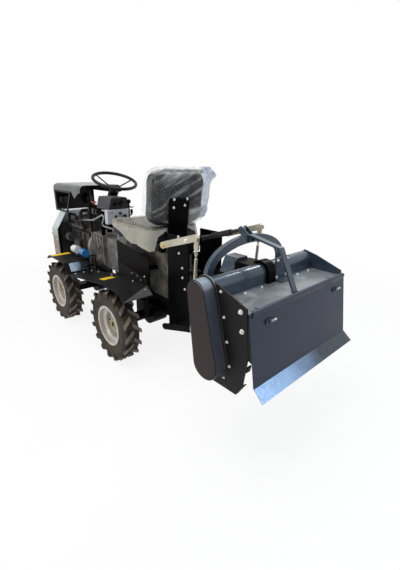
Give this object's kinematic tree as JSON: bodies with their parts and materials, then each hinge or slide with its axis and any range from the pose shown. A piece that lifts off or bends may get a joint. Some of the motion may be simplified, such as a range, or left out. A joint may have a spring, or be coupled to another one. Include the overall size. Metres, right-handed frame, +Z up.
{
  "type": "mini tractor with a rotary tiller",
  "caption": "Open mini tractor on four equal lugged wheels, with a covered rotary tiller raised on its rear three-point linkage.",
  "frame": {"origin": "middle of the bounding box in plan, on the ground under the wheels", "axes": "+X forward, +Y to the left, +Z up"},
  "size_m": [3.111, 1.024, 1.5105],
  "materials": {
    "tyre": "matt moulded rubber",
    "rim_paint": "satin silver cream paint",
    "black_paint": "semi-gloss black paint",
    "platform_paint": "satin black powder coat with yellow stripes",
    "tiller_paint": "satin slate grey powder coat",
    "case_paint": "satin dark grey-brown paint",
    "hood_paint": "grey paint under clear film",
    "zinc": "bright zinc plate",
    "galvanised": "galvanised sheet",
    "dark_casting": "dark cast iron with oil film",
    "alloy_casting": "raw cast alloy",
    "black_plastic": "matt black moulding",
    "gloss_black": "gloss black moulding",
    "blue_plastic": "blue canister with white cap",
    "silver_paint": "silver grey paint",
    "vinyl": "black grained vinyl under clear film",
    "radiator_fins": "black fins"
  },
  "bodies": {
    "chassis": {"frame_rails": "black_paint", "front_axle": "black_paint", "rear_axle": "black_paint", "engine_block": "dark_casting", "cylinder_head": "dark_casting", "cooling_fan": "dark_casting", "air_filter": "gloss_black", "hoses": "black_plastic", "exhaust": "black_paint", "fuel_filters": "blue_plastic", "clutch_housing": "alloy_casting", "gearbox": "alloy_casting", "rear_gearbox": "dark_casting", "side_plates": "black_paint", "platform_left": "platform_paint", "platform_right": "platform_paint", "platform_brackets": "black_paint", "radiator_surround": "galvanised", "radiator": "radiator_fins", "hood_support": "black_paint", "steering_column": "black_paint", "dashboard": "black_plastic", "control_box": "silver_paint", "levers_and_pedals": "black_paint", "seat_frame": "black_paint", "seat_cushion": "vinyl", "seat_back": "vinyl", "rear_posts": "black_paint", "top_link_bracket": "black_paint"},
    "knuckle_left": {"knuckle_left": "black_paint"},
    "knuckle_right": {"knuckle_right": "black_paint"},
    "tie_rod": {"tie_rod": "zinc"},
    "steering_wheel": {"steering_wheel": "black_plastic"},
    "hood": {"hood_shell": "hood_paint", "hood_grille": "black_plastic"},
    "lower_links": {"lower_links": "black_paint"},
    "top_link": {"top_link": "zinc"},
    "lift_arms": {"lift_arms": "zinc"},
    "lift_rods": {"lift_rods": "zinc"},
    "pto_shaft": {"pto_shaft": "black_paint"},
    "tiller": {"side_case": "case_paint", "cross_tube": "tiller_paint", "tiller_gearbox": "black_paint", "end_plates": "tiller_paint", "tiller_deck": "tiller_paint", "hitch_arch": "tiller_paint", "shaft_shield": "tiller_paint"},
    "rotor": {"rotor": "black_paint"},
    "flap": {"flap_board": "tiller_paint", "flap_blade": "galvanised"},
    "wheel_front_left": {"tyre_front_left": "tyre", "rim_front_left": "rim_paint"},
    "wheel_front_right": {"tyre_front_right": "tyre", "rim_front_right": "rim_paint"},
    "wheel_rear_left": {"tyre_rear_left": "tyre", "rim_rear_left": "rim_paint"},
    "wheel_rear_right": {"tyre_rear_right": "tyre", "rim_rear_right": "rim_paint"}
  },
  "joints": [
    {"name": "steer", "type": "hinge", "parent": "chassis", "child": "knuckle_left", "pos_m": [1.0195, 0.295, 0.3], "axis": [0, 0, 1], "range_deg": [-28, 28]},
    {"name": "steer_right", "type": "hinge", "parent": "chassis", "child": "knuckle_right", "pos_m": [1.0195, -0.295, 0.3], "axis": [0, 0, 1], "range_deg": [-28, 28]},
    {"name": "tie_rod_swing", "type": "hinge", "parent": "knuckle_left", "child": "tie_rod", "pos_m": [1.1395, 0.295, 0.3], "axis": [0, 0, 1], "range_deg": [-28, 28]},
    {"name": "steering_wheel_turn", "type": "hinge", "parent": "chassis", "child": "steering_wheel", "pos_m": [0.5245, 0, 1.395], "axis": [-0.3338, 0, 0.9426], "range_deg": [-394, 394]},
    {"name": "hood_tilt", "type": "hinge", "parent": "chassis", "child": "hood", "pos_m": [1.4575, 0, 1.07], "axis": [0, 1, 0], "range_deg": [0, 60]},
    {"name": "lift", "type": "hinge", "parent": "chassis", "child": "lower_links", "pos_m": [-0.5605, 0, 0.44], "axis": [0, -1, 0], "range_deg": [0, 60]},
    {"name": "tiller_level", "type": "hinge", "parent": "lower_links", "child": "tiller", "pos_m": [-0.9235, 0, 0.551], "axis": [0, -1, 0], "range_deg": [-61, 1]},
    {"name": "top_link_swing", "type": "hinge", "parent": "chassis", "child": "top_link", "pos_m": [-0.6475, 0, 1.059], "axis": [0, -1, 0], "range_deg": [-1, 61]},
    {"name": "lift_arm_swing", "type": "hinge", "parent": "chassis", "child": "lift_arms", "pos_m": [-0.5975, 0, 1.045], "axis": [0, -1, 0], "range_deg": [-1, 61]},
    {"name": "lift_rod_swing", "type": "hinge", "parent": "lift_arms", "child": "lift_rods", "pos_m": [-0.9135, 0, 1.141], "axis": [0, -1, 0], "range_deg": [-61, 1]},
    {"name": "shaft_swing", "type": "hinge", "parent": "chassis", "child": "pto_shaft", "pos_m": [-0.5975, 0, 0.789], "axis": [0, -1, 0], "range_deg": [-1, 61]},
    {"name": "rotor_spin", "type": "hinge", "parent": "tiller", "child": "rotor", "pos_m": [-1.2205, 0, 0.545], "axis": [0, 1, 0], "continuous": true},
    {"name": "flap_swing", "type": "hinge", "parent": "tiller", "child": "flap", "pos_m": [-1.4355, 0, 0.882], "axis": [0, 1, 0], "range_deg": [0, 35]},
    {"name": "roll_front_left", "type": "hinge", "parent": "knuckle_left", "child": "wheel_front_left", "pos_m": [1.0195, 0.395, 0.3], "axis": [0, 1, 0], "continuous": true},
    {"name": "roll_front_right", "type": "hinge", "parent": "knuckle_right", "child": "wheel_front_right", "pos_m": [1.0195, -0.395, 0.3], "axis": [0, 1, 0], "continuous": true},
    {"name": "roll_rear_left", "type": "hinge", "parent": "chassis", "child": "wheel_rear_left", "pos_m": [-0.0305, 0.395, 0.3], "axis": [0, 1, 0], "continuous": true},
    {"name": "roll_rear_right", "type": "hinge", "parent": "chassis", "child": "wheel_rear_right", "pos_m": [-0.0305, -0.395, 0.3], "axis": [0, 1, 0], "continuous": true}
  ],
  "couplings": [
    {"joint": "steer_right", "follows": "steer", "ratio": 1},
    {"joint": "tie_rod_swing", "follows": "steer", "ratio": -1},
    {"joint": "steering_wheel_turn", "follows": "steer", "ratio": 14},
    {"joint": "tiller_level", "follows": "lift", "ratio": -1},
    {"joint": "top_link_swing", "follows": "lift", "ratio": 1},
    {"joint": "lift_arm_swing", "follows": "lift", "ratio": 1},
    {"joint": "lift_rod_swing", "follows": "lift", "ratio": -1},
    {"joint": "shaft_swing", "follows": "lift", "ratio": 1}
  ]
}
